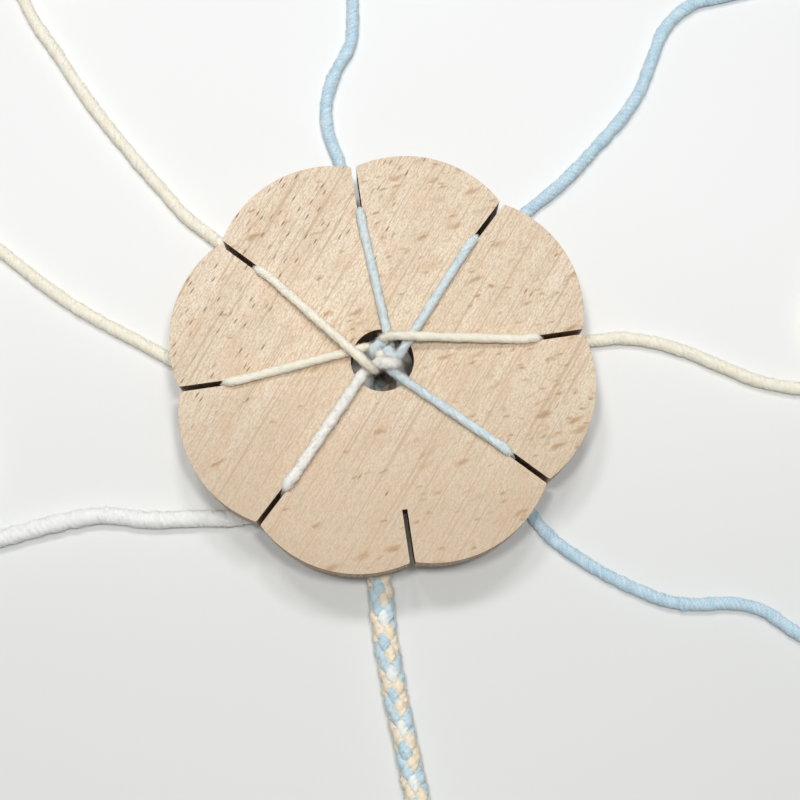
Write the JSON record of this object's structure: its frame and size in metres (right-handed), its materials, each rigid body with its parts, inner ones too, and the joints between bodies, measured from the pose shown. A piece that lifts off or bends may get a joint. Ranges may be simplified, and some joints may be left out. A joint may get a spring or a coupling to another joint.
{
  "type": "kumihimo disk",
  "caption": "Flat wooden braiding disk with a lobed rim, radial slots and a centre hole, holding yarn strands that meet in a round braid.",
  "frame": {"origin": "centre of the wooden disk, on the hole's axis, half way through the wood", "axes": "+Z along the hole's axis, out of the face that the strands cross; +X to the right in the picture; +Y away from the end of the braid"},
  "size_m": [0.283, 0.2762, 0.023],
  "materials": {
    "beech": "sanded bare beech, laser-cut edges charred brown",
    "blue_yarn": "soft matt light blue yarn",
    "cream_yarn": "soft matt cream yarn",
    "white_yarn": "fluffy matt white yarn",
    "braid_yarn": "round braid of cream, blue and white yarn"
  },
  "bodies": {
    "root": {"disk": "beech", "blue_strand_1": "blue_yarn", "blue_strand_1_coil": "blue_yarn", "blue_strand_2": "blue_yarn", "blue_strand_2_coil": "blue_yarn", "cream_strand_3": "cream_yarn", "cream_strand_3_coil": "cream_yarn", "blue_strand_4": "blue_yarn", "blue_strand_4_coil": "blue_yarn", "white_strand_6": "white_yarn", "white_strand_6_coil": "white_yarn", "cream_strand_7": "cream_yarn", "cream_strand_7_coil": "cream_yarn", "cream_strand_8": "cream_yarn", "cream_strand_8_coil": "cream_yarn", "braid": "braid_yarn", "braid_knot": "braid_yarn", "braid_tails": "braid_yarn"}
  },
  "joints": []
}
